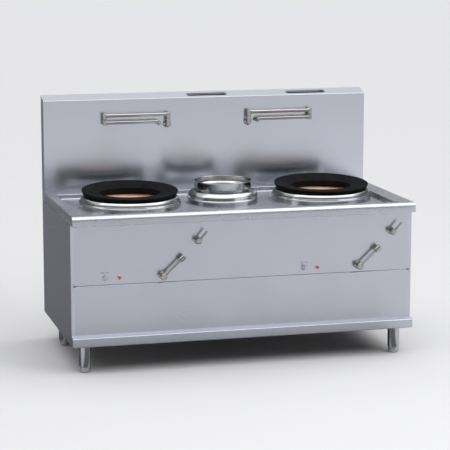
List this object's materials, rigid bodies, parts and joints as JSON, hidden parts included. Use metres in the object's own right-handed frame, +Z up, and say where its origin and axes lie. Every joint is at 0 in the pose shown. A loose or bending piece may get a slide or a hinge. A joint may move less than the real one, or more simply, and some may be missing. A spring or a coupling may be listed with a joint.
{
  "type": "wok range",
  "caption": "Steel gas wok range with tilted cast wok rings, a stockpot collar, folding water taps on a splashback, levers, switches and adjustable legs.",
  "frame": {"origin": "on the floor, under the middle of the plan", "axes": "+X to the right as the cook sees it, +Y towards the splashback, +Z up"},
  "size_m": [1.8, 0.91, 1.325],
  "materials": {
    "panel_steel": "satin",
    "hob_steel": "satin",
    "splash_steel": "satin",
    "drum_steel": "polished",
    "cast_iron": "matt black",
    "fire_clay": "matt fire clay",
    "casing_steel": "mill",
    "leg_steel": "satin",
    "chrome": "polished",
    "pipe_steel": "mill",
    "fan_casting": "as cast",
    "knob_silver": "satin",
    "bezel_steel": "satin",
    "red_lens": "gloss"
  },
  "bodies": {
    "range_frame": {"base_rails": "casing_steel", "blowers": "fan_casting", "bottom_ledge": "hob_steel", "burner_left": "cast_iron", "burner_right": "cast_iron", "control_panel": "panel_steel", "drum_left": "drum_steel", "drum_middle": "drum_steel", "drum_right": "drum_steel", "fire_casing_left": "casing_steel", "fire_casing_middle": "casing_steel", "fire_casing_right": "casing_steel", "flue_ducts": "casing_steel", "flue_risers": "casing_steel", "gas_pipes": "pipe_steel", "gas_valve_left": "chrome", "gas_valve_right": "chrome", "hob_top": "hob_steel", "lamp_bodies": "bezel_steel", "lamp_lenses": "red_lens", "leg_front_left": "leg_steel", "leg_front_right": "leg_steel", "leg_rear_left": "leg_steel", "leg_rear_right": "leg_steel", "lower_panel": "panel_steel", "panel_screws": "pipe_steel", "rear_shell": "panel_steel", "refractory_left": "fire_clay", "refractory_middle": "fire_clay", "refractory_right": "fire_clay", "side_panel_left": "panel_steel", "side_panel_right": "panel_steel", "splashback_front": "splash_steel", "switch_body_left": "bezel_steel", "switch_body_right": "bezel_steel", "tap_base_left": "chrome", "tap_base_right": "chrome", "tap_pipes": "pipe_steel", "water_pipes": "pipe_steel", "water_valve_left": "chrome", "water_valve_right": "chrome"},
    "wok_ring_left": {"wok_ring_left": "cast_iron"},
    "wok_ring_right": {"wok_ring_right": "cast_iron"},
    "pot_collar": {"pot_collar": "drum_steel"},
    "tap_upper_arm_left": {"tap_upper_arm_left": "chrome"},
    "tap_lower_arm_left": {"tap_lower_arm_left": "chrome"},
    "tap_upper_arm_right": {"tap_upper_arm_right": "chrome"},
    "tap_lower_arm_right": {"tap_lower_arm_right": "chrome"},
    "gas_lever_left": {"gas_lever_left": "chrome"},
    "water_lever_left": {"water_lever_left": "chrome"},
    "switch_knob_left": {"switch_knob_left": "knob_silver"},
    "gas_lever_right": {"gas_lever_right": "chrome"},
    "water_lever_right": {"water_lever_right": "chrome"},
    "switch_knob_right": {"switch_knob_right": "knob_silver"},
    "foot_front_left": {"foot_front_left": "leg_steel"},
    "foot_front_right": {"foot_front_right": "leg_steel"},
    "foot_rear_left": {"foot_rear_left": "leg_steel"},
    "foot_rear_right": {"foot_rear_right": "leg_steel"}
  },
  "joints": [
    {"name": "wok_ring_left_lift", "type": "slide", "parent": "range_frame", "child": "wok_ring_left", "axis": [0, 0, 1], "range_m": [0, 0.12]},
    {"name": "wok_ring_right_lift", "type": "slide", "parent": "range_frame", "child": "wok_ring_right", "axis": [0, 0, 1], "range_m": [0, 0.12]},
    {"name": "pot_collar_lift", "type": "slide", "parent": "range_frame", "child": "pot_collar", "axis": [0, 0, 1], "range_m": [0, 0.12]},
    {"name": "tap_left_swing", "type": "hinge", "parent": "range_frame", "child": "tap_upper_arm_left", "pos_m": [-0.226, 0.345, 1.194], "axis": [0, 0, 1], "range_deg": [0, 90]},
    {"name": "tap_left_elbow", "type": "hinge", "parent": "tap_upper_arm_left", "child": "tap_lower_arm_left", "pos_m": [-0.575, 0.345, 1.198], "axis": [0, 0, -1], "range_deg": [0, 180]},
    {"name": "tap_right_swing", "type": "hinge", "parent": "range_frame", "child": "tap_upper_arm_right", "pos_m": [0.226, 0.345, 1.194], "axis": [0, 0, -1], "range_deg": [0, 90]},
    {"name": "tap_right_elbow", "type": "hinge", "parent": "tap_upper_arm_right", "child": "tap_lower_arm_right", "pos_m": [0.575, 0.345, 1.198], "axis": [0, 0, 1], "range_deg": [0, 180]},
    {"name": "gas_lever_left_turn", "type": "hinge", "parent": "range_frame", "child": "gas_lever_left", "pos_m": [-0.434, -0.427, 0.486], "axis": [0, -1, 0], "range_deg": [0, 90]},
    {"name": "water_lever_left_turn", "type": "hinge", "parent": "range_frame", "child": "water_lever_left", "pos_m": [-0.254, -0.435, 0.659], "axis": [0, -1, 0], "range_deg": [0, 90]},
    {"name": "switch_left_turn", "type": "hinge", "parent": "range_frame", "child": "switch_knob_left", "pos_m": [-0.727, -0.405, 0.49], "axis": [0, 1, 0], "range_deg": [0, 90]},
    {"name": "gas_lever_right_turn", "type": "hinge", "parent": "range_frame", "child": "gas_lever_right", "pos_m": [0.606, -0.427, 0.486], "axis": [0, -1, 0], "range_deg": [0, 90]},
    {"name": "water_lever_right_turn", "type": "hinge", "parent": "range_frame", "child": "water_lever_right", "pos_m": [0.786, -0.435, 0.659], "axis": [0, -1, 0], "range_deg": [0, 90]},
    {"name": "switch_right_turn", "type": "hinge", "parent": "range_frame", "child": "switch_knob_right", "pos_m": [0.313, -0.405, 0.49], "axis": [0, 1, 0], "range_deg": [0, 90]},
    {"name": "foot_front_left_height", "type": "slide", "parent": "range_frame", "child": "foot_front_left", "axis": [0, 0, -1], "range_m": [0, 0.03]},
    {"name": "foot_front_right_height", "type": "slide", "parent": "range_frame", "child": "foot_front_right", "axis": [0, 0, -1], "range_m": [0, 0.03]},
    {"name": "foot_rear_left_height", "type": "slide", "parent": "range_frame", "child": "foot_rear_left", "axis": [0, 0, -1], "range_m": [0, 0.03]},
    {"name": "foot_rear_right_height", "type": "slide", "parent": "range_frame", "child": "foot_rear_right", "axis": [0, 0, -1], "range_m": [0, 0.03]}
  ]
}
